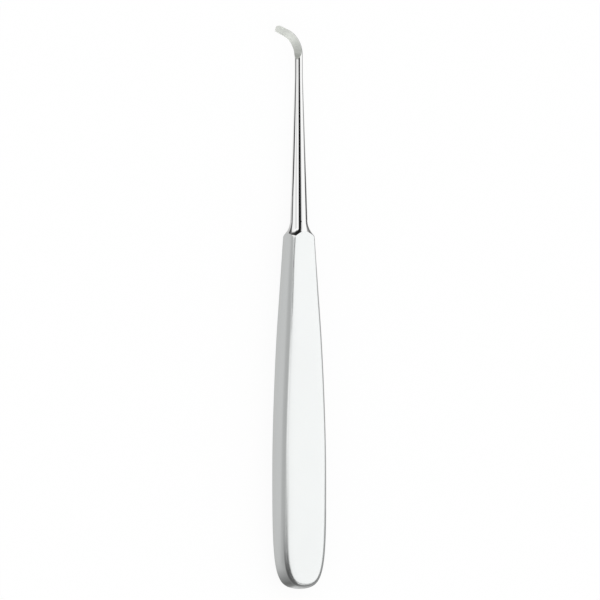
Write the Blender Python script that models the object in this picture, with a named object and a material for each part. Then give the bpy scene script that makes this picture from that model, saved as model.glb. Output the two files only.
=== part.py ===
"""Root elevator, a one-piece dental hand instrument of stainless steel.

One forging: a flat paddle handle with slightly full sides, a turned shoulder whose flare cuts an
arch into each side of the handle, a slim tapered round shank, and a narrow blade that is ground
flat on one side and bent sideways over its length.

It is worked in the order of the real one. The straight blank is forged and turned, the working
face is ground, and the blade is bent last. The long axis runs along +Y, from the butt of the
handle to the blade, and the blade turns towards -X. The instrument lies on the flat of its
handle, whose middle is the origin.
"""

import math

import bmesh
import bpy
from mathutils import Vector
from mathutils.geometry import interpolate_bezier

MM = 0.001

# Handle, seen on its broad face
HANDLE_LENGTH = 99.9 * MM  # butt to the corners of the shoulder
HANDLE_WIDTH = 14.9 * MM  # at the widest place
WIDEST_FROM_BUTT = 23.0 * MM
SHOULDER_WIDTH = 7.75 * MM
SHOULDER_DRAFT = math.radians(4.4)  # how much each long edge leans in at the shoulder
BUTT_END_FULLNESS = 6.8 * MM  # reach of the outline's curve handles: more is squarer
BUTT_SIDE_FULLNESS = 17.0 * MM
BELLY_FULLNESS = 29.5 * MM
WAIST_FULLNESS = 25.4 * MM

# Handle, seen on its edge
HANDLE_THICKNESS = 7.9 * MM
SHOULDER_THICKNESS = 6.7 * MM
BUTT_THICKNESS = 6.9 * MM
SHOULDER_EASE = 33.0 * MM  # length over which the faces close in on the shoulder
BUTT_EASE = 30.0 * MM  # and on the butt
SIDE_FULLNESS = 0.5 * MM  # how far the sides stand out between the two broad faces
SHOULDER_EDGE_RADIUS = 0.7 * MM  # of the rounded edges of the broad faces
EDGE_RADIUS = 1.2 * MM
BUTT_EDGE_RADIUS = 1.6 * MM
EDGE_EASE = 20.0 * MM  # length over which that radius changes, at the shoulder and past the widest place

# Turned flare and shank
NECK_DIAMETER = 4.84 * MM
FLARE_RADIUS = 6.1 * MM  # hollow, from the neck outwards
SHOULDER_ROUNDING = 2.1 * MM  # turns the flare back before it reaches the corners
CORNER_SLOPE = math.radians(12.0)  # of that rounding, where it meets the corners
SHANK_TAPER_LENGTH = 40.2 * MM
SHANK_STRAIGHT_LENGTH = 6.2 * MM  # slim stretch between the taper and the bend
SHANK_TIP_DIAMETER = 2.36 * MM

# Blade
BLADE_LENGTH = 11.6 * MM  # along its middle, from the start of the bend
BEND_RADIUS = 6.9 * MM
BEND_ANGLE = math.radians(67.0)
BLADE_TIP_WIDTH = 2.8 * MM
BLADE_TIP_BACK = 1.1 * MM  # how far the rounded back stands behind the middle at the tip
TIP_ROUNDING_LENGTH = 1.3 * MM
TIP_SQUARENESS = 2.6  # 2 is a half ellipse, more is squarer
TIP_SLANT = 0.5 * MM  # how much further the outer corner of the end reaches than the inner

# Ground working face
FACE_TURN = math.radians(50.0)  # from the handle's broad face towards the inside of the bend
GRIND_RUN_OUT = 1.1 * MM  # how far the grinding runs back onto the shank
GRIND_RAMP_LENGTH = 2.9 * MM
FACE_HEIGHT_AT_RAMP = 0.25 * MM  # above the middle of the blank
FACE_DEPTH_AT_TIP = 0.4 * MM  # below the middle of the blank

# Facets
ROUND_FACETS = 48
SIDE_FACETS = 3
EDGE_FACETS = 4
OUTLINE_STEPS = 14
FACE_STRIPS = 9
FLARE_STEPS = 10
ROUNDING_STEPS = 5
BEND_STEPS = 16
TIP_STEPS = 6

# Places along the instrument that follow from the sizes above
NECK_RADIUS = NECK_DIAMETER / 2
SHANK_TIP_RADIUS = SHANK_TIP_DIAMETER / 2


def eased(along):
    """From 0 to 1, with a level start and end."""
    return (1 - math.cos(math.pi * min(max(along, 0), 1))) / 2


def edge_radius_at(y):
    """Radius of the rounded edges at a distance from the butt: least at the shoulder."""
    to_shoulder = eased(1 - (HANDLE_LENGTH - y) / EDGE_EASE)
    to_butt = eased(1 - (y - WIDEST_FROM_BUTT) / EDGE_EASE)
    less = (EDGE_RADIUS - SHOULDER_EDGE_RADIUS) * to_shoulder
    return EDGE_RADIUS - less + (BUTT_EDGE_RADIUS - EDGE_RADIUS) * to_butt


def side_levels(edge_radius):
    """(height, inset) across the handle's side, back to front: a flat arc between two rounded edges."""
    half = HANDLE_THICKNESS / 2
    side_radius = (half**2 + SIDE_FULLNESS**2) / (2 * SIDE_FULLNESS)
    edge_height = half - edge_radius
    turn = math.asin(edge_height / (side_radius - edge_radius))
    edge_inset = side_radius - (side_radius - edge_radius) * math.cos(turn)
    levels = []
    for step in range(-SIDE_FACETS, SIDE_FACETS + 1):
        angle = turn * step / SIDE_FACETS
        levels.append((side_radius * math.sin(angle), side_radius * (1 - math.cos(angle))))
    for step in range(1, EDGE_FACETS + 1):
        angle = turn + (math.pi / 2 - turn) * step / EDGE_FACETS
        height = edge_height + edge_radius * math.sin(angle)
        inset = edge_inset - edge_radius * math.cos(angle)
        levels.append((height, inset))
        levels.insert(0, (-height, inset))
    return levels


def corner_reach():
    """Distance from the axis to the shoulder's rounded edges, the last that the flare reaches."""
    thinner = SHOULDER_THICKNESS / HANDLE_THICKNESS
    return max(
        math.hypot(SHOULDER_WIDTH / 2 - inset, height * thinner)
        for height, inset in side_levels(SHOULDER_EDGE_RADIUS)
    )


CORNER_REACH = corner_reach()


def flare_slope():
    """Steepest slope of the flare, where its hollow passes into its rounding."""
    rise = CORNER_REACH - NECK_RADIUS
    turned_back = SHOULDER_ROUNDING * math.cos(CORNER_SLOPE)
    return math.acos((FLARE_RADIUS + turned_back - rise) / (FLARE_RADIUS + SHOULDER_ROUNDING))


HOLLOW_LENGTH = FLARE_RADIUS * math.sin(flare_slope())
ROUNDED_LENGTH = SHOULDER_ROUNDING * (math.sin(flare_slope()) - math.sin(CORNER_SLOPE))
FLARE_LENGTH = HOLLOW_LENGTH + ROUNDED_LENGTH
NECK_STATION = HANDLE_LENGTH + FLARE_LENGTH
TAPER_END = NECK_STATION + SHANK_TAPER_LENGTH
BEND_START = TAPER_END + SHANK_STRAIGHT_LENGTH
GRIND_START = BEND_START - GRIND_RUN_OUT
BLADE_END = BEND_START + BLADE_LENGTH
FLAT_START = BUTT_EASE
FLAT_END = HANDLE_LENGTH - SHOULDER_EASE
ORIGIN = Vector((0, (FLAT_START + FLAT_END) / 2, -HANDLE_THICKNESS / 2))

# Directions across the blade: along the working face towards the inside of the bend, and out of it
FACE_ACROSS = Vector((-math.cos(FACE_TURN), 0, -math.sin(FACE_TURN)))
FACE_NORMAL = Vector((-math.sin(FACE_TURN), 0, math.cos(FACE_TURN)))


def clear_scene():
    for obj in list(bpy.data.objects):
        bpy.data.objects.remove(obj, do_unlink=True)


def steel(name, colour, roughness):
    """A stainless steel finish."""
    material = bpy.data.materials.new(name)
    material.use_nodes = True
    shader = material.node_tree.nodes["Principled BSDF"]
    shader.inputs["Base Color"].default_value = (*colour, 1)
    shader.inputs["Metallic"].default_value = 1
    shader.inputs["Roughness"].default_value = roughness
    return material


def finished_mesh(name, bm, material):
    """A mesh from bm with all its faces turned outwards and one finish."""
    bmesh.ops.recalc_face_normals(bm, faces=bm.faces)
    mesh = bpy.data.meshes.new(name)
    bm.to_mesh(mesh)
    bm.free()
    mesh.materials.append(material)
    return mesh


def add_object(name, mesh):
    obj = bpy.data.objects.new(name, mesh)
    bpy.context.scene.collection.objects.link(obj)
    return obj


def add_tool(name, mesh):
    """A shape that only cuts: left out of a render and drawn as a wire."""
    tool = add_object(name, mesh)
    tool.hide_render = True
    tool.display_type = "WIRE"
    return tool


def plan_outline():
    """Right half of the forging's outline on its broad face, from the butt up, as (x, y) points."""
    half = HANDLE_WIDTH / 2
    shoulder = Vector((SHOULDER_WIDTH / 2, HANDLE_LENGTH))
    lean = Vector((math.tan(SHOULDER_DRAFT), -1))
    widest = Vector((half, WIDEST_FROM_BUTT))
    butt = interpolate_bezier(
        Vector((0, 0)),
        Vector((BUTT_END_FULLNESS, 0)),
        widest - Vector((0, BUTT_SIDE_FULLNESS)),
        widest,
        OUTLINE_STEPS,
    )
    side = interpolate_bezier(
        widest,
        widest + Vector((0, BELLY_FULLNESS)),
        shoulder + lean * WAIST_FULLNESS,
        shoulder,
        OUTLINE_STEPS,
    )
    neck = shoulder - lean * FLARE_LENGTH
    # The blank runs on as a bar around the whole shank and the straight blade
    past_tip = Vector((neck.x, BLADE_END + HANDLE_WIDTH))
    return butt + side[1:] + [neck, past_tip]


def thickness_at(y):
    """Thickness of the handle at a distance from its butt: even in the middle, eased to both ends."""
    thinner = (HANDLE_THICKNESS - SHOULDER_THICKNESS) * eased((y - FLAT_END) / SHOULDER_EASE)
    thinner += (HANDLE_THICKNESS - BUTT_THICKNESS) * eased((FLAT_START - y) / BUTT_EASE)
    return HANDLE_THICKNESS - thinner


def cut_across(bm, stations):
    """Cuts every face that crosses a station, so that it can follow a curve along the axis."""
    for station in stations:
        bmesh.ops.bisect_plane(
            bm,
            geom=bm.verts[:] + bm.edges[:] + bm.faces[:],
            dist=MM / 1000,
            plane_co=(0, station, 0),
            plane_no=(0, 1, 0),
        )


def stacked_rings(bm, outline):
    """The outline as closed rings of points, one for each level of the side."""
    columns = []
    for index, point in enumerate(outline):
        along = outline[(index + 1) % len(outline)] - outline[index - 1]
        inwards = Vector((-along.y, along.x)).normalized()
        levels = side_levels(edge_radius_at(point.y))
        columns.append([bm.verts.new((*(point + inwards * inset), height)) for height, inset in levels])
    return list(zip(*columns))


def join_rings(bm, rings):
    """Skins a row of rings and closes both ends."""
    for lower, upper in zip(rings, rings[1:]):
        for step in range(len(lower)):
            after = (step + 1) % len(lower)
            bm.faces.new((lower[step], lower[after], upper[after], upper[step]))
    bm.faces.new(rings[0])
    bm.faces.new(rings[-1])


def forged_bar(finish):
    """The flat forging: its outline built up through the thickness, drawn in to shoulder and butt."""
    half = plan_outline()
    outline = half + [Vector((-x, y)) for x, y in reversed(half[1:])]
    bm = bmesh.new()
    join_rings(bm, stacked_rings(bm, outline))
    strips = [BUTT_EASE * (step + 0.5) / FACE_STRIPS for step in range(FACE_STRIPS)]
    strips += [
        HANDLE_LENGTH - SHOULDER_EASE * (step + 0.5) / FACE_STRIPS for step in range(FACE_STRIPS)
    ]
    cut_across(bm, strips + [FLAT_START, FLAT_END, HANDLE_LENGTH])
    for vert in bm.verts:
        vert.co.z *= thickness_at(vert.co.y) / HANDLE_THICKNESS
    return finished_mesh("forged_bar", bm, finish)


def lathe_profile():
    """(station, radius) of the turned surface, from clear of the handle up to the bend."""
    clear_radius = HANDLE_WIDTH
    slope = flare_slope()
    below = HANDLE_LENGTH - (clear_radius - CORNER_REACH) / math.tan(slope)
    profile = [(-HANDLE_WIDTH, clear_radius), (below, clear_radius)]
    for step in range(ROUNDING_STEPS):
        angle = CORNER_SLOPE + (slope - CORNER_SLOPE) * step / ROUNDING_STEPS
        station = HANDLE_LENGTH + SHOULDER_ROUNDING * (math.sin(angle) - math.sin(CORNER_SLOPE))
        drop = SHOULDER_ROUNDING * (math.cos(CORNER_SLOPE) - math.cos(angle))
        profile.append((station, CORNER_REACH - drop))
    for step in range(FLARE_STEPS, -1, -1):
        angle = slope * step / FLARE_STEPS
        station = NECK_STATION - FLARE_RADIUS * math.sin(angle)
        profile.append((station, NECK_RADIUS + FLARE_RADIUS * (1 - math.cos(angle))))
    profile.append((TAPER_END, SHANK_TIP_RADIUS))
    return profile


def blade_section(station):
    """Half width and half height of the blade's blank at a station past the start of the bend."""
    along = (station - BEND_START) / BLADE_LENGTH
    half_width = SHANK_TIP_RADIUS + (BLADE_TIP_WIDTH / 2 - SHANK_TIP_RADIUS) * along
    half_height = SHANK_TIP_RADIUS + (BLADE_TIP_BACK - SHANK_TIP_RADIUS) * along
    into_tip = max(1 - (BLADE_END - station) / TIP_ROUNDING_LENGTH, 0)
    rounding = (1 - into_tip**TIP_SQUARENESS) ** (1 / TIP_SQUARENESS)
    return half_width * rounding, half_height * rounding, into_tip


def bend_stations():
    """Where the blade has a ring of points, up to where its rounded end starts."""
    length = BLADE_LENGTH - TIP_ROUNDING_LENGTH
    return [BEND_START + length * step / BEND_STEPS for step in range(BEND_STEPS + 1)]


def tip_stations():
    """Rings of the rounded end, closer together towards the very tip."""
    quarter = math.pi / 2
    steps = [math.sin(quarter * step / TIP_STEPS) for step in range(1, TIP_STEPS)]
    return [BLADE_END - TIP_ROUNDING_LENGTH * (1 - step) for step in steps]


def add_ring(bm, station, half_width, half_height, slant):
    """One closed ring of points around the axis."""
    ring = []
    for step in range(ROUND_FACETS):
        angle = 2 * math.pi * (step + 0.5) / ROUND_FACETS
        across = half_width * math.cos(angle)
        point = FACE_ACROSS * across + FACE_NORMAL * (half_height * math.sin(angle))
        point.y = station - slant * math.cos(angle)
        ring.append(bm.verts.new(point))
    return ring


def turned_blank(finish):
    """What the lathe and the blade's die leave: the flare, the shank and the blade, still straight."""
    bm = bmesh.new()
    rings = [add_ring(bm, station, radius, radius, 0) for station, radius in lathe_profile()]
    for station in bend_stations() + tip_stations():
        half_width, half_height, into_tip = blade_section(station)
        slant = TIP_SLANT * into_tip / 2
        rings.append(add_ring(bm, station, half_width, half_height, slant))
    join_rings(bm, rings)
    return finished_mesh("turned_blank", bm, finish)


def grinding_wheel(finish):
    """What the wheel takes off: a block whose underside is the working face and its run-out."""
    over = HANDLE_THICKNESS
    ramp_start = Vector((GRIND_START, SHANK_TIP_RADIUS))
    ramp_end = Vector((GRIND_START + GRIND_RAMP_LENGTH, FACE_HEIGHT_AT_RAMP))
    tip = Vector((BLADE_END, -FACE_DEPTH_AT_TIP))
    steep = (ramp_end - ramp_start) / 2
    shallow = (tip - ramp_end).normalized() * steep.length
    underside = interpolate_bezier(
        ramp_start, ramp_start + steep, ramp_end - shallow, ramp_end, FLARE_STEPS
    )
    underside.insert(0, ramp_start - steep)
    underside.append(tip + shallow)
    outline = underside + [
        Vector((BLADE_END + shallow.x, over)),
        Vector((underside[0].x, over)),
    ]
    bm = bmesh.new()
    corners = []
    for station, height in outline:
        point = FACE_NORMAL * height - FACE_ACROSS * over
        point.y = station
        corners.append(bm.verts.new(point))
    side = bm.faces.new(corners)
    other = bmesh.ops.extrude_face_region(bm, geom=[side])
    moved = [item for item in other["geom"] if isinstance(item, bmesh.types.BMVert)]
    bmesh.ops.translate(bm, verts=moved, vec=FACE_ACROSS * over * 2)
    return finished_mesh("grinding_wheel", bm, finish)


def cut_with(obj, name, operation, tool):
    modifier = obj.modifiers.new(name, "BOOLEAN")
    modifier.operation = operation
    modifier.solver = "EXACT"
    modifier.material_mode = "TRANSFER"
    modifier.object = tool


def bent(point):
    """Where a point of the straight blank goes when the blade is bent."""
    past = point.y - BEND_START
    if past <= 0:
        return point
    arc = min(past, BEND_RADIUS * BEND_ANGLE)
    angle = arc / BEND_RADIUS
    reach = BEND_RADIUS + point.x
    straight = past - arc
    return Vector(
        (
            reach * math.cos(angle) - BEND_RADIUS - straight * math.sin(angle),
            BEND_START + reach * math.sin(angle) + straight * math.cos(angle),
            point.z,
        )
    )


def bend_blade(obj):
    """Turns the worked straight blank into its own mesh, and bends its end."""
    graph = bpy.context.evaluated_depsgraph_get()
    worked = bpy.data.meshes.new_from_object(obj.evaluated_get(graph))
    obj.modifiers.clear()
    bm = bmesh.new()
    bm.from_mesh(worked)
    cut_across(bm, bend_stations() + tip_stations())
    for vert in bm.verts:
        vert.co = bent(vert.co.copy()) - ORIGIN
    bm.to_mesh(worked)
    bm.free()
    worked.name = obj.name
    obj.data = worked


def shade(mesh):
    """Smooth over the rounded surfaces and sharp along the arches and the ground face."""
    mesh.shade_smooth()
    mesh.set_sharp_from_angle(angle=math.radians(24))


def build():
    clear_scene()
    satin = steel("satin_steel", (0.72, 0.72, 0.71), 0.34)
    polished = steel("polished_steel", (0.80, 0.80, 0.79), 0.06)
    blasted = steel("blasted_steel", (0.60, 0.61, 0.58), 0.55)
    elevator = add_object("root_elevator", forged_bar(satin))
    lathe = add_tool("lathe_form", turned_blank(polished))
    wheel = add_tool("wheel_form", grinding_wheel(blasted))
    cut_with(elevator, "turned", "INTERSECT", lathe)
    cut_with(elevator, "ground", "DIFFERENCE", wheel)
    bend_blade(elevator)
    shade(elevator.data)


build()
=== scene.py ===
"""Root elevator on a white studio floor.

The instrument is one forging of stainless steel. It is made here as it is made in the workshop:
the handle is forged, the flare and the shank are turned, the working face is ground, the blade is
bent, and the surfaces are finished last. After it come the floor, the light and the camera.
"""

import math

import bmesh
import bpy
from mathutils import Matrix, Vector
from mathutils.geometry import interpolate_bezier


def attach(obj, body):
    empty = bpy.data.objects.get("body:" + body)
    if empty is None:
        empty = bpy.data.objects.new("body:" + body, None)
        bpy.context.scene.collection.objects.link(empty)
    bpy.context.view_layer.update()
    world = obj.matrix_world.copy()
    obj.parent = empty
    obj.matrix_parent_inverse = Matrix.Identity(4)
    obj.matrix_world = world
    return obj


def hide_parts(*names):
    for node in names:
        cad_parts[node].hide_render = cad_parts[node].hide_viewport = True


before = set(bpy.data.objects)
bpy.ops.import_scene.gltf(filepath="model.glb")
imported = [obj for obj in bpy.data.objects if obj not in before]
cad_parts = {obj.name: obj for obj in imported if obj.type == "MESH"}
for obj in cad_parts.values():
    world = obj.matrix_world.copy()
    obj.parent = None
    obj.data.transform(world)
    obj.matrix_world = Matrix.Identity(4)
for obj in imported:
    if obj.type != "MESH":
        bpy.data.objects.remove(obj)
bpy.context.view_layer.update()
MM = 0.001  # the frame counts in metres

# The handle is a flat paddle of stainless steel, drop forged between two dies that part half way up
# its sides, thinner towards the shoulder and the butt. The sides stay a little full. The belt that
# rounds the edges also lets the broad faces fall away a little beside them.

HANDLE_LENGTH = 99.7 * MM  # butt to the corners of the shoulder
HANDLE_WIDTH = 14.9 * MM
WIDEST_FROM_BUTT = 23.0 * MM
SHOULDER_WIDTH = 7.75 * MM
SHOULDER_DRAFT = math.radians(4.4)
BUTT_END_FULLNESS = 6.8 * MM
BUTT_SIDE_FULLNESS = 17.0 * MM
BELLY_FULLNESS = 29.5 * MM
WAIST_FULLNESS = 25.4 * MM
HANDLE_THICKNESS = 7.9 * MM
SHOULDER_THICKNESS = 6.7 * MM
BUTT_THICKNESS = 6.9 * MM
SHOULDER_EASE = 32.8 * MM
BUTT_EASE = 30.0 * MM
SIDE_FULLNESS = 0.5 * MM
SHOULDER_EDGE_RADIUS = 0.7 * MM
EDGE_RADIUS = 1.2 * MM
BUTT_EDGE_RADIUS = 1.6 * MM
EDGE_EASE = 20.0 * MM
FACE_FALL_REACH = 1.6 * MM
FACE_FALL = 0.035 * MM
FACE_FALL_STEPS = 5
SIDE_FACETS = 6
EDGE_FACETS = 8
OUTLINE_STEPS = 44
FACE_STRIPS = 24
CUT_TOLERANCE = MM / 1000


def eased(along):
    """From 0 to 1, with a level start and end."""
    return (1 - math.cos(math.pi * min(max(along, 0), 1))) / 2


def edge_radius_at(y):
    """Radius of the rounded edges at a distance from the butt: least at the shoulder."""
    to_shoulder = eased(1 - (HANDLE_LENGTH - y) / EDGE_EASE)
    to_butt = eased(1 - (y - WIDEST_FROM_BUTT) / EDGE_EASE)
    less = (EDGE_RADIUS - SHOULDER_EDGE_RADIUS) * to_shoulder
    return EDGE_RADIUS - less + (BUTT_EDGE_RADIUS - EDGE_RADIUS) * to_butt


def side_levels(edge_radius):
    """(height, inset) across the side, back to front: a flat arc, round edges, falling faces."""
    half = HANDLE_THICKNESS / 2
    side_radius = (half**2 + SIDE_FULLNESS**2) / (2 * SIDE_FULLNESS)
    edge_height = half - FACE_FALL - edge_radius
    turn = math.asin(edge_height / (side_radius - edge_radius))
    edge_inset = side_radius - (side_radius - edge_radius) * math.cos(turn)
    levels = []
    for step in range(-SIDE_FACETS, SIDE_FACETS + 1):
        angle = turn * step / SIDE_FACETS
        levels.append((side_radius * math.sin(angle), side_radius * (1 - math.cos(angle))))
    for step in range(1, EDGE_FACETS + 1):
        angle = turn + (math.pi / 2 - turn) * step / EDGE_FACETS
        height = edge_height + edge_radius * math.sin(angle)
        inset = edge_inset - edge_radius * math.cos(angle)
        levels.append((height, inset))
        levels.insert(0, (-height, inset))
    for step in range(1, FACE_FALL_STEPS + 1):
        rise = 1 - (1 - step / FACE_FALL_STEPS) ** 2
        height = half - FACE_FALL * (1 - rise)
        inset = edge_inset + FACE_FALL_REACH * step / FACE_FALL_STEPS
        levels.append((height, inset))
        levels.insert(0, (-height, inset))
    return levels


def plan_outline(run_out, bar_end):
    """Outline of the forging on its broad face as (x, y) points, with a bar past the shoulder."""
    shoulder = Vector((SHOULDER_WIDTH / 2, HANDLE_LENGTH))
    lean = Vector((math.tan(SHOULDER_DRAFT), -1))
    widest = Vector((HANDLE_WIDTH / 2, WIDEST_FROM_BUTT))
    butt = interpolate_bezier(
        Vector((0, 0)),
        Vector((BUTT_END_FULLNESS, 0)),
        widest - Vector((0, BUTT_SIDE_FULLNESS)),
        widest,
        OUTLINE_STEPS,
    )
    side = interpolate_bezier(
        widest,
        widest + Vector((0, BELLY_FULLNESS)),
        shoulder + lean * WAIST_FULLNESS,
        shoulder,
        OUTLINE_STEPS,
    )
    neck = shoulder - lean * run_out
    right = butt + side[1:] + [neck, Vector((neck.x, bar_end))]
    return right + [Vector((-x, y)) for x, y in reversed(right[1:])]


def thickness_at(y):
    """Thickness of the handle at a distance from its butt."""
    to_shoulder = eased(1 - (HANDLE_LENGTH - y) / SHOULDER_EASE)
    to_butt = eased(1 - y / BUTT_EASE)
    thinner = (HANDLE_THICKNESS - SHOULDER_THICKNESS) * to_shoulder
    thinner += (HANDLE_THICKNESS - BUTT_THICKNESS) * to_butt
    return HANDLE_THICKNESS - thinner


def cut_across(bm, stations):
    """Cuts every face that crosses a station along the instrument."""
    for station in stations:
        bmesh.ops.bisect_plane(
            bm,
            geom=bm.verts[:] + bm.edges[:] + bm.faces[:],
            dist=CUT_TOLERANCE,
            plane_co=(0, station, 0),
            plane_no=(0, 1, 0),
        )


def join_rings(bm, rings):
    """Skins a row of rings and closes both ends."""
    for lower, upper in zip(rings, rings[1:]):
        for step in range(len(lower)):
            after = (step + 1) % len(lower)
            bm.faces.new((lower[step], lower[after], upper[after], upper[step]))
    bm.faces.new(rings[0])
    bm.faces.new(rings[-1])


def outward_mesh(name, bm, finish):
    """A mesh from bm with its faces turned outwards and one finish."""
    bmesh.ops.recalc_face_normals(bm, faces=bm.faces)
    mesh = bpy.data.meshes.new(name)
    bm.to_mesh(mesh)
    bm.free()
    mesh.materials.append(finish)
    return mesh


def forged_bar(run_out, bar_end, finish):
    """The outline built up through the thickness, and drawn in to the shoulder and the butt."""
    outline = plan_outline(run_out, bar_end)
    bm = bmesh.new()
    columns = []
    for index, point in enumerate(outline):
        along = outline[(index + 1) % len(outline)] - outline[index - 1]
        inwards = Vector((-along.y, along.x)).normalized()
        levels = side_levels(edge_radius_at(point.y))
        column = []
        for height, inset in levels:
            column.append(bm.verts.new((*(point + inwards * inset), height)))
        columns.append(column)
    join_rings(bm, list(zip(*columns)))
    steps = range(FACE_STRIPS)
    stations = [BUTT_EASE * (step + 0.5) / FACE_STRIPS for step in steps]
    stations += [HANDLE_LENGTH - SHOULDER_EASE * (step + 0.5) / FACE_STRIPS for step in steps]
    cut_across(bm, stations + [BUTT_EASE, HANDLE_LENGTH - SHOULDER_EASE, HANDLE_LENGTH])
    for vert in bm.verts:
        vert.co.z *= thickness_at(vert.co.y) / HANDLE_THICKNESS
    return outward_mesh("forged_bar", bm, finish)


# The flare and the shank are turned between centres from the square end of the forging, and
# buffed to a mirror. Where the flare meets the flat faces and the sides, it leaves an arch in each.

NECK_RADIUS = 2.42 * MM
FLARE_RADIUS = 6.1 * MM
SHOULDER_ROUNDING = 2.1 * MM
CORNER_SLOPE = math.radians(12.0)
SHANK_TAPER_LENGTH = 40.4 * MM
SHANK_STRAIGHT_LENGTH = 6.2 * MM
SHANK_TIP_RADIUS = 1.18 * MM
ROUND_FACETS = 144
FLARE_STEPS = 28
ROUNDING_STEPS = 12

thinner_shoulder = SHOULDER_THICKNESS / HANDLE_THICKNESS
CORNER_REACH = max(
    math.hypot(SHOULDER_WIDTH / 2 - inset, height * thinner_shoulder)
    for height, inset in side_levels(SHOULDER_EDGE_RADIUS)
)
flare_rise = CORNER_REACH - NECK_RADIUS
turned_back = SHOULDER_ROUNDING * math.cos(CORNER_SLOPE)
FLARE_SLOPE = math.acos(
    (FLARE_RADIUS + turned_back - flare_rise) / (FLARE_RADIUS + SHOULDER_ROUNDING)
)
FLARE_LENGTH = FLARE_RADIUS * math.sin(FLARE_SLOPE)
FLARE_LENGTH += SHOULDER_ROUNDING * (math.sin(FLARE_SLOPE) - math.sin(CORNER_SLOPE))
NECK_STATION = HANDLE_LENGTH + FLARE_LENGTH
TAPER_END = NECK_STATION + SHANK_TAPER_LENGTH
BEND_START = TAPER_END + SHANK_STRAIGHT_LENGTH


def lathe_profile():
    """(station, radius) of the turned surface, from clear of the handle up to the bend."""
    clear_radius = HANDLE_WIDTH
    below = HANDLE_LENGTH - (clear_radius - CORNER_REACH) / math.tan(FLARE_SLOPE)
    profile = [(-HANDLE_WIDTH, clear_radius), (below, clear_radius)]
    for step in range(ROUNDING_STEPS):
        angle = CORNER_SLOPE + (FLARE_SLOPE - CORNER_SLOPE) * step / ROUNDING_STEPS
        station = HANDLE_LENGTH + SHOULDER_ROUNDING * (math.sin(angle) - math.sin(CORNER_SLOPE))
        drop = SHOULDER_ROUNDING * (math.cos(CORNER_SLOPE) - math.cos(angle))
        profile.append((station, CORNER_REACH - drop))
    for step in range(FLARE_STEPS, -1, -1):
        angle = FLARE_SLOPE * step / FLARE_STEPS
        station = NECK_STATION - FLARE_RADIUS * math.sin(angle)
        profile.append((station, NECK_RADIUS + FLARE_RADIUS * (1 - math.cos(angle))))
    profile.append((TAPER_END, SHANK_TIP_RADIUS))
    return profile


# The blade is the end of the shank, drawn out flat. Its working face is ground on a wheel, which
# runs out in a short ramp on the round shank, and the whole end is then bent to one side over a
# former.

BLADE_LENGTH = 11.6 * MM
BEND_RADIUS = 6.9 * MM
BEND_ANGLE = math.radians(67.0)
BLADE_TIP_WIDTH = 2.8 * MM
BLADE_TIP_BACK = 1.1 * MM
TIP_ROUNDING_LENGTH = 1.3 * MM
TIP_SQUARENESS = 2.6
TIP_SLANT = 0.5 * MM
FACE_TURN = math.radians(50.0)
GRIND_RUN_OUT = 1.1 * MM
GRIND_RAMP_LENGTH = 2.9 * MM
FACE_HEIGHT_AT_RAMP = 0.25 * MM
FACE_DEPTH_AT_TIP = 0.4 * MM
BEND_STEPS = 48
TIP_STEPS = 14

BLADE_END = BEND_START + BLADE_LENGTH
FACE_ACROSS = Vector((-math.cos(FACE_TURN), 0, -math.sin(FACE_TURN)))
FACE_NORMAL = Vector((-math.sin(FACE_TURN), 0, math.cos(FACE_TURN)))

# The frame's origin lies on the floor, under the middle of the handle's full thickness.
ORIGIN = Vector((0, (BUTT_EASE + HANDLE_LENGTH - SHOULDER_EASE) / 2, -HANDLE_THICKNESS / 2))

length_to_tip = BLADE_LENGTH - TIP_ROUNDING_LENGTH
bend_stations = [BEND_START + length_to_tip * step / BEND_STEPS for step in range(BEND_STEPS + 1)]
tip_stations = [
    BLADE_END - TIP_ROUNDING_LENGTH * (1 - math.sin(math.pi / 2 * step / TIP_STEPS))
    for step in range(1, TIP_STEPS)
]


def turned_blank(finish):
    """The flare, the shank and the blade, still straight."""
    bm = bmesh.new()
    sections = [(station, radius, radius, 0) for station, radius in lathe_profile()]
    for station in bend_stations + tip_stations:
        along = (station - BEND_START) / BLADE_LENGTH
        into_tip = max(1 - (BLADE_END - station) / TIP_ROUNDING_LENGTH, 0)
        rounding = (1 - into_tip**TIP_SQUARENESS) ** (1 / TIP_SQUARENESS)
        half_width = SHANK_TIP_RADIUS + (BLADE_TIP_WIDTH / 2 - SHANK_TIP_RADIUS) * along
        half_height = SHANK_TIP_RADIUS + (BLADE_TIP_BACK - SHANK_TIP_RADIUS) * along
        slant = TIP_SLANT * into_tip / 2
        sections.append((station, half_width * rounding, half_height * rounding, slant))
    rings = []
    for station, half_width, half_height, slant in sections:
        ring = []
        for step in range(ROUND_FACETS):
            angle = 2 * math.pi * (step + 0.5) / ROUND_FACETS
            across = FACE_ACROSS * (half_width * math.cos(angle))
            point = across + FACE_NORMAL * (half_height * math.sin(angle))
            point.y = station - slant * math.cos(angle)
            ring.append(bm.verts.new(point))
        rings.append(ring)
    join_rings(bm, rings)
    return outward_mesh("turned_blank", bm, finish)


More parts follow.
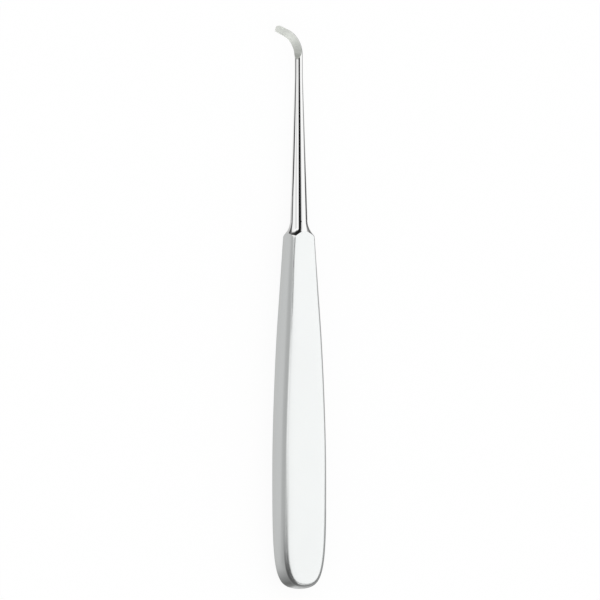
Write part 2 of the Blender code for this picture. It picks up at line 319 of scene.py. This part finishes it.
def grinding_wheel(finish):
    """What the wheel takes off: a block whose underside is the working face and its run-out."""
    over = HANDLE_THICKNESS
    start = BEND_START - GRIND_RUN_OUT
    ramp_start = Vector((start, SHANK_TIP_RADIUS))
    ramp_end = Vector((start + GRIND_RAMP_LENGTH, FACE_HEIGHT_AT_RAMP))
    tip = Vector((BLADE_END, -FACE_DEPTH_AT_TIP))
    steep = (ramp_end - ramp_start) / 2
    shallow = (tip - ramp_end).normalized() * steep.length
    underside = interpolate_bezier(
        ramp_start, ramp_start + steep, ramp_end - shallow, ramp_end, FLARE_STEPS
    )
    underside.insert(0, ramp_start - steep)
    underside.append(tip + shallow)
    outline = underside + [Vector((BLADE_END + shallow.x, over)), Vector((underside[0].x, over))]
    bm = bmesh.new()
    corners = []
    for station, height in outline:
        point = FACE_NORMAL * height - FACE_ACROSS * over
        point.y = station
        corners.append(bm.verts.new(point))
    side = bm.faces.new(corners)
    other = bmesh.ops.extrude_face_region(bm, geom=[side])
    moved = [item for item in other["geom"] if isinstance(item, bmesh.types.BMVert)]
    bmesh.ops.translate(bm, verts=moved, vec=FACE_ACROSS * over * 2)
    return outward_mesh("grinding_wheel", bm, finish)


def bent(point):
    """Where a point of the straight blank goes when the blade is bent."""
    past = point.y - BEND_START
    if past <= 0:
        return point
    arc = min(past, BEND_RADIUS * BEND_ANGLE)
    angle = arc / BEND_RADIUS
    reach = BEND_RADIUS + point.x
    straight = past - arc
    across = reach * math.cos(angle) - BEND_RADIUS - straight * math.sin(angle)
    along = BEND_START + reach * math.sin(angle) + straight * math.cos(angle)
    return Vector((across, along, point.z))


# The handle is brushed to a satin, the flare and the shank are buffed to a mirror, and the working
# face is left matt by fine blasting.

NOISE_LOW = 0.3
NOISE_HIGH = 0.7
SHARP_ANGLE = math.radians(20)


def handling_marks():
    """Node group: the fine scratches of a finish and the faint smudges that steel picks up."""
    group = bpy.data.node_groups.new("handling_marks", "ShaderNodeTree")
    for name, default in (("Scratch Scale", 900.0), ("Stretch", 20.0), ("Smudge Scale", 90.0)):
        socket = group.interface.new_socket(name, in_out="INPUT", socket_type="NodeSocketFloat")
        socket.default_value = default
    for name in ("Scratches", "Smudges"):
        group.interface.new_socket(name, in_out="OUTPUT", socket_type="NodeSocketFloat")
    nodes = group.nodes
    link = group.links.new
    given = nodes.new("NodeGroupInput")
    result = nodes.new("NodeGroupOutput")
    place = nodes.new("ShaderNodeTexCoord")
    stretch = nodes.new("ShaderNodeVectorMath")
    stretch.operation = "MULTIPLY"
    across = nodes.new("ShaderNodeCombineXYZ")
    link(given.outputs["Stretch"], across.inputs["X"])
    link(given.outputs["Stretch"], across.inputs["Z"])
    across.inputs["Y"].default_value = 1
    link(place.outputs["Object"], stretch.inputs[0])
    link(across.outputs["Vector"], stretch.inputs[1])
    scratches = nodes.new("ShaderNodeTexNoise")
    scratches.inputs["Detail"].default_value = 3
    scratches.inputs["Roughness"].default_value = 0.7
    link(stretch.outputs["Vector"], scratches.inputs["Vector"])
    link(given.outputs["Scratch Scale"], scratches.inputs["Scale"])
    link(scratches.outputs["Fac"], result.inputs["Scratches"])
    smudges = nodes.new("ShaderNodeTexNoise")
    smudges.inputs["Detail"].default_value = 4
    smudges.inputs["Roughness"].default_value = 0.6
    link(place.outputs["Object"], smudges.inputs["Vector"])
    link(given.outputs["Smudge Scale"], smudges.inputs["Scale"])
    link(smudges.outputs["Fac"], result.inputs["Smudges"])
    return group


marks = handling_marks()


def steel(name, colour, roughness, roughness_swing, scratch_scale, stretch, bump_height):
    """A stainless steel finish with its own grain."""
    material = bpy.data.materials.new(name)
    material.use_nodes = True
    nodes = material.node_tree.nodes
    link = material.node_tree.links.new
    shader = nodes["Principled BSDF"]
    shader.inputs["Base Color"].default_value = (*colour, 1)
    shader.inputs["Metallic"].default_value = 1
    grain = nodes.new("ShaderNodeGroup")
    grain.node_tree = marks
    grain.inputs["Scratch Scale"].default_value = scratch_scale
    grain.inputs["Stretch"].default_value = stretch
    spread = nodes.new("ShaderNodeMapRange")
    spread.inputs["From Min"].default_value = NOISE_LOW
    spread.inputs["From Max"].default_value = NOISE_HIGH
    spread.inputs["To Min"].default_value = roughness - roughness_swing
    spread.inputs["To Max"].default_value = roughness + roughness_swing
    link(grain.outputs["Smudges"], spread.inputs["Value"])
    link(spread.outputs["Result"], shader.inputs["Roughness"])
    bump = nodes.new("ShaderNodeBump")
    bump.inputs["Distance"].default_value = bump_height
    link(grain.outputs["Scratches"], bump.inputs["Height"])
    link(bump.outputs["Normal"], shader.inputs["Normal"])
    return material


satin = steel(
    "satin_steel",
    colour=(0.928, 0.947, 0.942),
    roughness=0.20,
    roughness_swing=0.02,
    scratch_scale=1500,
    stretch=14,
    bump_height=0.002 * MM,
)
polished = steel(
    "polished_steel",
    colour=(0.96, 0.96, 0.955),
    roughness=0.02,
    roughness_swing=0.006,
    scratch_scale=1200,
    stretch=6,
    bump_height=0.0001 * MM,
)
blasted = steel(
    "blasted_steel",
    colour=(0.585, 0.60, 0.57),
    roughness=0.50,
    roughness_swing=0.04,
    scratch_scale=6000,
    stretch=1,
    bump_height=0.004 * MM,
)

elevator = bpy.data.objects.new(
    "elevator", forged_bar(FLARE_LENGTH, BLADE_END + HANDLE_WIDTH, satin)
)
bpy.context.scene.collection.objects.link(elevator)
tools = []
for operation, mesh in (
    ("INTERSECT", turned_blank(polished)),
    ("DIFFERENCE", grinding_wheel(blasted)),
):
    tool = bpy.data.objects.new(mesh.name, mesh)
    bpy.context.scene.collection.objects.link(tool)
    tools.append(tool)
    modifier = elevator.modifiers.new(mesh.name, "BOOLEAN")
    modifier.operation = operation
    modifier.solver = "EXACT"
    modifier.material_mode = "TRANSFER"
    modifier.object = tool

graph = bpy.context.evaluated_depsgraph_get()
worked = bpy.data.meshes.new_from_object(elevator.evaluated_get(graph))
elevator.modifiers.clear()
for tool in tools:
    bpy.data.objects.remove(tool)
bm = bmesh.new()
bm.from_mesh(worked)
cut_across(bm, bend_stations + tip_stations)
for vert in bm.verts:
    vert.co = bent(vert.co.copy()) - ORIGIN
bm.to_mesh(worked)
bm.free()
worked.name = "elevator"
elevator.data = worked
worked.shade_smooth()
worked.set_sharp_from_angle(angle=SHARP_ANGLE)
even = elevator.modifiers.new("even_shading", "WEIGHTED_NORMAL")
even.keep_sharp = True
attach(elevator, "root")
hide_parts("root_elevator")

# The floor is a sheet of matt white acrylic, lit from all round, so that it runs into the
# background and keeps only a faint shadow.

FLOOR_SIZE = 3000 * MM
FLOOR_DROP = 0.01 * MM
FLOOR_GLOW = 0.9


def floor_sheet():
    """A square sheet, a hair below the instrument."""
    bm = bmesh.new()
    bmesh.ops.create_grid(bm, x_segments=1, y_segments=1, size=FLOOR_SIZE / 2)
    mesh = bpy.data.meshes.new("floor")
    bm.to_mesh(mesh)
    bm.free()
    floor = bpy.data.objects.new("floor", mesh)
    floor.location.z = -FLOOR_DROP
    bpy.context.scene.collection.objects.link(floor)
    return floor


def show_to_metal_and_camera(nodes, link):
    """1 for a ray that comes from the camera, a reflection or a refraction, else 0."""
    path = nodes.new("ShaderNodeLightPath")
    first = nodes.new("ShaderNodeMath")
    first.operation = "ADD"
    first.use_clamp = True
    link(path.outputs["Is Camera Ray"], first.inputs[0])
    link(path.outputs["Is Glossy Ray"], first.inputs[1])
    both = nodes.new("ShaderNodeMath")
    both.operation = "ADD"
    both.use_clamp = True
    link(first.outputs["Value"], both.inputs[0])
    link(path.outputs["Is Transmission Ray"], both.inputs[1])
    return both.outputs["Value"]


floor = floor_sheet()
acrylic = bpy.data.materials.new("white_floor")
acrylic.use_nodes = True
nodes = acrylic.node_tree.nodes
link = acrylic.node_tree.links.new
matt = nodes["Principled BSDF"]
matt.inputs["Base Color"].default_value = (0.98, 0.98, 0.98, 1)
matt.inputs["Roughness"].default_value = 0.9
matt.inputs["Specular IOR Level"].default_value = 0
glow = nodes.new("ShaderNodeEmission")
seen = nodes.new("ShaderNodeMath")
seen.operation = "MULTIPLY"
seen.inputs[1].default_value = FLOOR_GLOW
link(show_to_metal_and_camera(nodes, link), seen.inputs[0])
blend = nodes.new("ShaderNodeMixShader")
link(seen.outputs["Value"], blend.inputs["Fac"])
link(matt.outputs["BSDF"], blend.inputs[1])
link(glow.outputs["Emission"], blend.inputs[2])
link(blend.outputs["Shader"], nodes["Material Output"].inputs["Surface"])
floor.data.materials.append(acrylic)

# The light is a white tent all round the instrument. A polished surface shows only what stands
# round it, so cards of grey and black, called flags, hang and lie in the tent. Only reflections
# see them: they glow with their shade and cast no shadow, so the grey and black they give the
# steel is painted reflection.

world = bpy.data.worlds.new("white_tent")
world.use_nodes = True
tent = world.node_tree.nodes["Background"]
tent.inputs["Color"].default_value = (1, 1, 1, 1)
tent.inputs["Strength"].default_value = 1.0
bpy.context.scene.world = world

flag_paint = bpy.data.materials.new("flag_paint")
flag_paint.use_nodes = True
nodes = flag_paint.node_tree.nodes
link = flag_paint.node_tree.links.new
nodes.remove(nodes["Principled BSDF"])
shade = nodes.new("ShaderNodeAttribute")
shade.attribute_name = "shade"
shine = nodes.new("ShaderNodeEmission")
link(shade.outputs["Fac"], shine.inputs["Strength"])
link(shine.outputs["Emission"], nodes["Material Output"].inputs["Surface"])

BLACK = 0.012
AXIS_HEIGHT = HANDLE_THICKNESS / 2
SHOULDER_AT = HANDLE_LENGTH - ORIGIN.y
FLAG_LIFT = 0.02 * MM


def flag(name, rows, paint=flag_paint):
    """A card through rows of (point, shade) pairs, seen only by reflections."""
    bm = bmesh.new()
    layer = bm.verts.layers.float.new("shade")
    grid = []
    for row in rows:
        made = []
        for point, value in row:
            vert = bm.verts.new(point)
            vert[layer] = value
            made.append(vert)
        grid.append(made)
    for lower, upper in zip(grid, grid[1:]):
        for step in range(len(lower) - 1):
            bm.faces.new((lower[step], lower[step + 1], upper[step + 1], upper[step]))
    mesh = bpy.data.meshes.new(name)
    bm.to_mesh(mesh)
    bm.free()
    mesh.materials.append(paint)
    obj = bpy.data.objects.new(name, mesh)
    bpy.context.scene.collection.objects.link(obj)
    obj.visible_camera = False
    obj.visible_diffuse = False
    obj.visible_shadow = False


# Four flags hang above. Two black ones draw the black line down the shank, a grey one softens its
# right edge, and a grey one that fades out shades the left margin of the broad face. A lean is an
# angle from straight above, in degrees towards the camera's side.

FLAG_DISTANCE = 320 * MM
TIP_FLAG_DISTANCE = 310 * MM
TIP_FLAG_LEFT_EDGE = 10
TIP_FLAG_ROWS = ((80, -2), (105, -10), (123, -10), (127, -2))  # y in mm, lean of its right edge
OVERHEAD_FROM = 52 * MM
OVERHEAD_BEHIND = -200 * MM
FALL_FROM = 130 * MM
LEVEL_STEPS = 10
FALL_STEPS = 20
MARGIN_SHADES = ((-8, 0.62), (-14, 0.72), (-20, 0.84), (-26, 0.97))


def above(lean, distance, y, height=AXIS_HEIGHT):
    """A point at a lean and a distance from a line along the instrument, at a height over the floor."""
    angle = math.radians(lean)
    return Vector((-distance * math.sin(angle), y, height + distance * math.cos(angle)))


def over_the_shank(leans):
    """Rows of a flag above the shank, level at first, then falling to the floor past the tip."""
    rows = []
    for step in range(LEVEL_STEPS):
        y = OVERHEAD_FROM + (FALL_FROM - OVERHEAD_FROM) * step / LEVEL_STEPS
        rows.append([(above(lean, FLAG_DISTANCE, y), value) for lean, value in leans])
    for step in range(FALL_STEPS + 1):
        fall = math.pi / 2 * step / FALL_STEPS
        y = FALL_FROM + FLAG_DISTANCE * math.sin(fall)
        distance = FLAG_DISTANCE * math.cos(fall)
        rows.append([(above(lean, distance, y), value) for lean, value in leans])
    return rows


flag("camera_side_flag", over_the_shank([(-2, BLACK), (33, BLACK)]))
flag(
    "tip_side_flag",
    [
        [
            (above(lean, TIP_FLAG_DISTANCE, y * MM), BLACK)
            for lean in (right_edge, TIP_FLAG_LEFT_EDGE)
        ]
        for y, right_edge in TIP_FLAG_ROWS
    ],
)
flag("grey_flag", over_the_shank([(-18, 0.78), (-2, 0.6)]))
flag(
    "front_gradient",
    [
        [(above(lean, FLAG_DISTANCE, y, height=0), value) for lean, value in MARGIN_SHADES]
        for y in (OVERHEAD_BEHIND, OVERHEAD_FROM - MM)
    ],
)

# Grey flags stand on the floor beside the handle, one along its left side and a darker one round the
# butt, whose height and shades change on the way. Their heights are in mm, and turns count in
# degrees from -X towards -Y.

NEAR_FLAG = 60 * MM
BUTT_MIDDLE = -25 * MM
LEFT_FLAG_PAST_SHOULDER = 6 * MM
BUTT_FLAG_STEPS = 36
FOOT_HEIGHT = 8
BAND_HEIGHT = 16
LEFT_SHADES = ((0, 0.43), (50, 0.43), (98, 0.5), (130, 0.85), (210, 0.97))
FOOT_SHADES = (
    (0, 0.43), (16, 0.40), (24, 0.33), (34, 0.27), (60, 0.20), (85, 0.20), (95, 0.35),
    (105, 0.45), (117, 0.5), (125, 0.35), (180, 0.4),
)
LOW_SHADES = (
    (0, 0.43), (16, 0.34), (24, 0.20), (34, 0.12), (44, 0.09), (60, 0.10), (90, 0.12), (95, 0.16),
    (105, 0.2), (117, 0.18), (125, 0.26), (150, 0.2), (180, 0.4),
)
HIGH_SHADES = (
    (0, 0.5), (16, 0.4), (24, 0.3), (34, 0.14), (44, 0.10), (60, 0.12), (90, 0.10), (97, 0.14),
    (103, 0.25), (108, 0.55), (113, 0.8), (121, 0.7), (128, 0.4), (150, 0.2), (180, 0.5),
)
TOP_HEIGHTS = ((0, 98), (60, 80), (95, 80), (105, 56), (132, 56), (150, 40), (180, 40))


def standing(path, shades):
    """A flag standing along a path on the floor: shades are (height in mm, shade) pairs."""
    return [[(Vector((x, y, height * MM)), value) for height, value in shades] for x, y in path]


def even_steps(first, last, steps):
    """Even steps from first to last, with both ends."""
    return [first + (last - first) * step / steps for step in range(steps + 1)]


def round_about(middle, radius, turn):
    """A point on the floor round a middle on the axis."""
    angle = math.radians(turn)
    return -radius * math.cos(angle), middle - radius * math.sin(angle)


def between(pairs, value):
    """Value of a broken line through pairs."""
    for (low, start), (high, end) in zip(pairs, pairs[1:]):
        if value <= high:
            return start + (end - start) * max(value - low, 0) / (high - low)
    return pairs[-1][1]


def round_the_butt(turns):
    """Rows of the flag round the butt: a foot, a darker band and a top that fades."""
    rows = []
    for turn in turns:
        foot = between(FOOT_SHADES, turn)
        low = between(LOW_SHADES, turn)
        top = between(TOP_HEIGHTS, turn)
        shades = [(0, foot), (FOOT_HEIGHT, foot), (BAND_HEIGHT, low), (top / 2, low)]
        shades.append((top, between(HIGH_SHADES, turn)))
        rows += standing([round_about(BUTT_MIDDLE, NEAR_FLAG, turn)], shades)
    return rows


left_of_handle = [(-NEAR_FLAG, SHOULDER_AT + LEFT_FLAG_PAST_SHOULDER), (-NEAR_FLAG, BUTT_MIDDLE)]
flag("handle_left_flag", standing(left_of_handle, LEFT_SHADES))
flag("handle_butt_flag", round_the_butt(even_steps(0, 180, BUTT_FLAG_STEPS)))

# A flag hangs over the left of the handle and darkens the rounded edge between the side and the
# broad face. It reaches farther to the right towards the butt, and is darker there.

EDGE_FLAG_HEIGHT = 300 * MM
EDGE_FLAG_LEFT_EDGE = -160 * MM
EDGE_FLAG_ROWS = (
    # y and right edge in mm, shade
    (40, -150, 0.43),
    (34, -130, 0.43),
    (19, -60, 0.43),
    (5, -75, 0.43),
    (-9, -58, 0.43),
    (-30, -27, 0.43),
    (-52, 50, 0.41),
    (-65, 52, 0.25),
    (-85, 57, 0.12),
    (-118, 80, 0.10),
    (-137, 110, 0.10),
    (-158, 180, 0.15),
    (-220, 200, 0.2),
)

flag(
    "over_the_edge",
    [
        [
            (Vector((x, y * MM, EDGE_FLAG_HEIGHT)), value)
            for x in (EDGE_FLAG_LEFT_EDGE, right_edge * MM)
        ]
        for y, right_edge, value in EDGE_FLAG_ROWS
    ],
)

# The flare looks past the tip, low over the floor. A fan of card lies there, black towards the axis
# and grey outside, with a standing card beyond it, so that the valley between the arches is dark. A
# grey strip of painted floor shadow lies beside the shoulder and shows in the top of the handle's
# left side.

FAN_FROM = (-4, 2)
FAN_STATIONS = (12, 34, 80, 340)
FAN_SHADES = ((8, 0.02), (16, 0.02), (21, 0.05), (24, 0.16), (27, 0.35), (30, 0.6))
FAN_LIFT = 2 * FLAG_LIFT
FAR_FLAG = 350 * MM
FAR_STEPS = 18
FADE_FROM = -59
FADE_TO = -66
FADE_HEIGHT = 120
FADE_SHADES = ((FADE_TO, 0.0), (FADE_FROM, 0.6))
ARCH_SHADES = ((-2, 0.56), (-9, 0.56), (-12, 0.44), (-60, 0.43))
ARCH_STATIONS = (-1, 2.3)


def on_floor(x, station, lift=FLAG_LIFT):
    """A point on the floor, in mm from the axis and past the shoulder."""
    return Vector((x * MM, SHOULDER_AT + station * MM, lift))


def fan_row(station):
    """The fan's shades across one station: it opens from a point beside the flare."""
    row = []
    for turn, value in FAN_SHADES:
        x = FAN_FROM[0] - (station - FAN_FROM[1]) * math.tan(math.radians(turn))
        row.append((on_floor(x, station, FAN_LIFT), value))
    return row


flag("valley_shade", [fan_row(station) for station in FAN_STATIONS])
fading_rows = []
for turn in even_steps(FADE_FROM, FADE_TO, FAR_STEPS):
    value = between(FADE_SHADES, turn)
    path = [round_about(SHOULDER_AT, FAR_FLAG - MM, turn)]
    fading_rows += standing(path, [(0, value), (FADE_HEIGHT, value)])
flag("beyond_the_tip", fading_rows)
flag(
    "arch_shade",
    [[(on_floor(x, station), value) for x, value in ARCH_SHADES] for station in ARCH_STATIONS],
)

# A small bright card stands behind the tip and lights the matt working face. Its back is clear, so
# that the flare doesn't see it.

TIP_CARD_AT = 82 * MM
TIP_CARD_EDGES = (-7 * MM, -21 * MM)
TIP_CARD_HEIGHT = 35 * MM
TIP_CARD_SHADE = 2.7

card_paint = flag_paint.copy()
card_paint.name = "card_paint"
nodes = card_paint.node_tree.nodes
link = card_paint.node_tree.links.new
facing = nodes.new("ShaderNodeNewGeometry")
clear = nodes.new("ShaderNodeBsdfTransparent")
one_side = nodes.new("ShaderNodeMixShader")
link(facing.outputs["Backfacing"], one_side.inputs["Fac"])
link(nodes["Emission"].outputs["Emission"], one_side.inputs[1])
link(clear.outputs["BSDF"], one_side.inputs[2])
link(one_side.outputs["Shader"], nodes["Material Output"].inputs["Surface"])

flag(
    "tip_card",
    [
        [(Vector((x, TIP_CARD_AT, height)), TIP_CARD_SHADE) for x in TIP_CARD_EDGES]
        for height in (0, TIP_CARD_HEIGHT)
    ],
    card_paint,
)

# The other standing flags: a dark one on the right of the handle for its right rim, a light grey one
# on the left of the shank, a low one on its right for the thin line there, and a tall black one past
# the tip, which carries the black line on into the flare.

RIGHT_FLAG_PAST_SHOULDER = 4 * MM
RIGHT_RIM_SHADES = ((0, 0.3), (40, 0.5))
SHANK_LEFT_STATIONS = (6, 70)
SHANK_LEFT_SHADES = ((10, 0.78), (48, 0.78))
SHANK_RIGHT_HEIGHT = 18
SHANK_RIGHT_SHADES = ((5, 0.04), (15, 0.08), (30, 0.3), (70, 0.6))
CLOSED_TO = -100
FAR_FLAG_SHADES = ((0, BLACK), (210, BLACK))

right_of_handle = [(NEAR_FLAG, BUTT_MIDDLE), (NEAR_FLAG, SHOULDER_AT + RIGHT_FLAG_PAST_SHOULDER)]
flag("handle_right_flag", standing(right_of_handle, RIGHT_RIM_SHADES))
left_of_shank = [(-NEAR_FLAG - MM, SHOULDER_AT + station * MM) for station in SHANK_LEFT_STATIONS]
flag("shank_left_flag", standing(left_of_shank, SHANK_LEFT_SHADES))
right_rows = []
for station, value in SHANK_RIGHT_SHADES:
    path = [(NEAR_FLAG, SHOULDER_AT + station * MM)]
    right_rows += standing(path, [(0, value), (SHANK_RIGHT_HEIGHT, value)])
flag("shank_right_flag", right_rows)
far_turns = even_steps(FADE_TO, CLOSED_TO, FAR_STEPS)
past_the_tip = [round_about(SHOULDER_AT, FAR_FLAG, turn) for turn in far_turns]
flag("far_flag", standing(past_the_tip, FAR_FLAG_SHADES))

# Grey card lies on the floor round the handle as a painted shadow of the instrument on the floor, and
# shows in most of its left side and in the butt.
# Each ring is an offset from the handle's outline, in mm, with its shades by the turn that the
# outline faces.

HANDLE_RINGS = (
    (-1.5, ((0, 0.3), (45, 0.2), (70, 0.3), (90, 0.6), (110, 0.2), (180, 0.2))),
    (0, (
        (0, 0.54), (10, 0.50), (16, 0.44), (21, 0.36), (35, 0.25), (60, 0.14), (80, 0.25),
        (88, 0.6), (98, 0.55), (108, 0.52), (120, 0.4), (135, 0.2), (150, 0.1), (180, 0.1),
    )),
    (3, (
        (0, 0.56), (8, 0.54), (16, 0.44), (21, 0.36), (35, 0.25), (60, 0.14), (80, 0.22),
        (88, 0.6), (98, 0.55), (108, 0.52), (120, 0.4), (135, 0.2), (150, 0.1), (180, 0.1),
    )),
    (6, (
        (0, 0.56), (5, 0.46), (10, 0.40), (16, 0.41), (21, 0.34), (35, 0.25), (60, 0.14),
        (80, 0.2), (90, 0.5), (108, 0.48), (122, 0.4), (140, 0.2), (180, 0.3),
    )),
    (8, (
        (0, 0.44), (5, 0.42), (10, 0.38), (16, 0.40), (21, 0.34), (35, 0.25), (60, 0.14),
        (80, 0.2), (90, 0.5), (108, 0.48), (122, 0.4), (140, 0.2), (180, 0.3),
    )),
    (70, (
        (0, 0.43), (5, 0.42), (10, 0.38), (16, 0.40), (21, 0.34), (35, 0.25), (60, 0.14),
        (80, 0.2), (90, 0.4), (108, 0.4), (180, 0.3),
    )),
)


def round_the_handle():
    """Rows of the rings, from the shoulder down the left side, round the butt and up again."""
    outline = plan_outline(FLARE_LENGTH, BLADE_END)
    rows = []
    for index in range(-2 * OUTLINE_STEPS + 1, 2 * OUTLINE_STEPS):
        point = outline[index]
        along = outline[(index + 1) % len(outline)] - outline[index - 1]
        out = Vector((along.y, -along.x)).normalized()
        turn = math.degrees(math.atan2(-out.y, -out.x))
        row = []
        for offset, shades in HANDLE_RINGS:
            spot = point + out * offset * MM
            row.append((Vector((spot.x, spot.y - ORIGIN.y, FLAG_LIFT)), between(shades, turn)))
        rows.append(row)
    return rows


flag("handle_shade", round_the_handle())

# Card lies on the floor on both sides of the shank. A black strip on the left, a painted shadow of the
# shank on the floor, draws the line along its left outline, and the card on the right gets darker
# towards the shoulder for the line there.
# Each row is a station past the shoulder with (distance from the axis, shade) pairs, all in mm.

LEFT_FOOT = ((0, 0.7), (2.5, 0.7), (5.2, 0.5), (5.6, 0.05), (9, 0.05))
LEFT_ROWS = (
    (2.4, LEFT_FOOT + ((9.4, 0.43), (30, 0.43))),
    (4.0, LEFT_FOOT + ((9.4, 0.43), (30, 0.43))),
    (4.2, LEFT_FOOT + ((9.4, 0.9), (30, 0.93))),
    (8, ((0, 0.8), (2.5, 0.7), (4.8, 0.6), (5.2, 0.10), (9.2, 0.12), (10.5, 0.9), (30, 0.93))),
    (14, ((0, 0.9), (3, 0.85), (4.4, 0.75), (4.9, 0.25), (10, 0.25), (11.5, 0.9), (30, 0.93))),
    (30, ((0, 0.9), (3, 0.85), (4.6, 0.75), (5.2, 0.2), (12, 0.2), (13.5, 0.9), (30, 0.93))),
    (66, ((0, 0.95), (3, 0.9), (5.0, 0.8), (5.6, 0.15), (15, 0.15), (17, 0.9), (30, 0.93))),
)
RIGHT_ROWS = (
    (0.2, ((0, 0.4), (1.5, 0.4), (5, 0.3), (12, 0.25), (59, 0.05))),
    (8, ((0, 0.5), (1.5, 0.3), (5, 0.2), (12, 0.15), (59, 0.05))),
    (15, ((0, 0.7), (1.5, 0.3), (5, 0.12), (12, 0.12), (59, 0.1))),
    (30, ((0, 0.7), (1.5, 0.5), (5, 0.3), (12, 0.3), (59, 0.3))),
    (66, ((0, 0.8), (1.5, 0.7), (5, 0.5), (12, 0.5), (59, 0.5))),
)

for name, hand, rows in (("shank_left_shade", -1, LEFT_ROWS), ("shank_right_shade", 1, RIGHT_ROWS)):
    flag(
        name,
        [
            [(on_floor(hand * distance, station), value) for distance, value in row]
            for station, row in rows
        ],
    )

# The camera looks down on the instrument from its left, with a long lens that shows it without
# perspective.

PIXEL = 0.284 * MM
FRAME_PIXELS = 600
LOOK_ROUND = math.radians(30)
ROLL = -0.0016
BUTT_ROW = 588.9
AXIS_SHIFT = 1.05
CAMERA_DISTANCE = 300 * MM

right = Vector((math.cos(LOOK_ROUND), 0, math.sin(LOOK_ROUND)))
back = Vector((-math.sin(LOOK_ROUND), 0, math.cos(LOOK_ROUND)))
middle_row = Vector((0, (BUTT_ROW - FRAME_PIXELS / 2) * PIXEL, 0)) - ORIGIN
aim = middle_row + right * (AXIS_SHIFT * PIXEL)
turn = Matrix((right, Vector((0, 1, 0)), back)).transposed().to_4x4()
lens = bpy.data.cameras.new("camera")
lens.type = "ORTHO"
lens.ortho_scale = FRAME_PIXELS * PIXEL
camera = bpy.data.objects.new("camera", lens)
bpy.context.scene.collection.objects.link(camera)
place = Matrix.Translation(aim + back * CAMERA_DISTANCE)
camera.matrix_world = place @ turn @ Matrix.Rotation(ROLL, 4, "Z")
bpy.context.scene.camera = camera
bpy.context.scene.view_settings.view_transform = "Standard"
